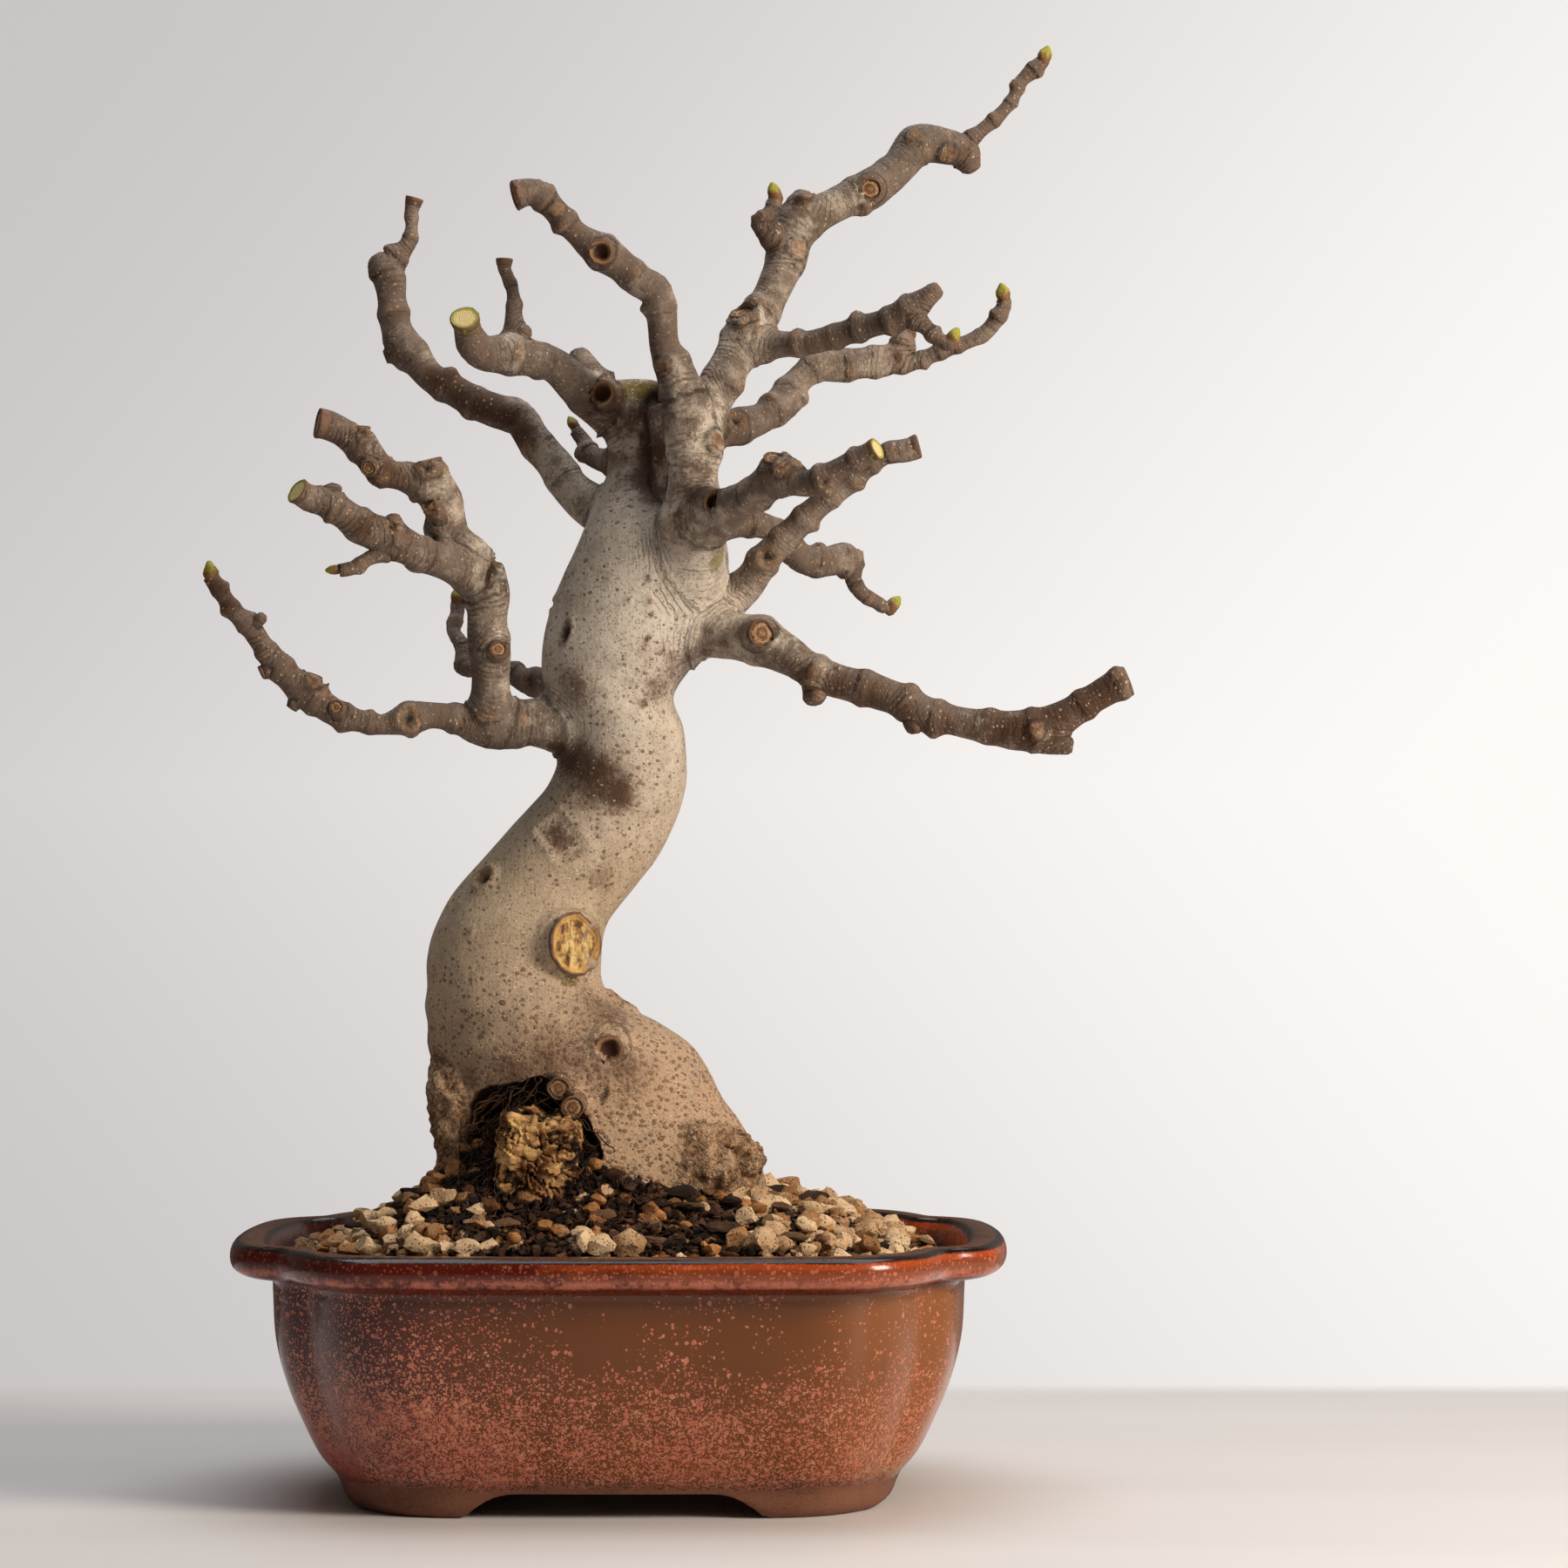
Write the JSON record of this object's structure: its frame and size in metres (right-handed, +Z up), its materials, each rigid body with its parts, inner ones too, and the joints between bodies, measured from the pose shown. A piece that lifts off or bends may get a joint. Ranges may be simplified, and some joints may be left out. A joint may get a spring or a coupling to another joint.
{
  "type": "fig bonsai in a glazed pot",
  "caption": "Leafless pruned fig bonsai with a curved pale trunk and cut-back limbs, rooted in gravelly soil in a lobed, speckled, glazed pot on feet",
  "frame": {"origin": "middle of the footprint, on the surface the pot's feet stand on", "axes": "+Z up, +X to the right and +Y to the back as seen from the tree's front"},
  "size_m": [0.2966, 0.198, 0.4723],
  "materials": {
    "glaze": "glossy brown glaze with salmon speckles, bare clay at the feet",
    "soil": "loose pumice, fired clay grains, bark and peat",
    "bark": "smooth pale grey bark with rusty lenticels, darker on the limbs",
    "screen_plastic": "moulded",
    "clip_wire": "drawn"
  },
  "bodies": {
    "root": {"pot": "glaze", "soil": "soil", "tree": "bark", "drain_screen_left": "screen_plastic", "drain_screen_right": "screen_plastic", "screen_clip_left": "clip_wire", "screen_clip_right": "clip_wire"}
  },
  "joints": []
}
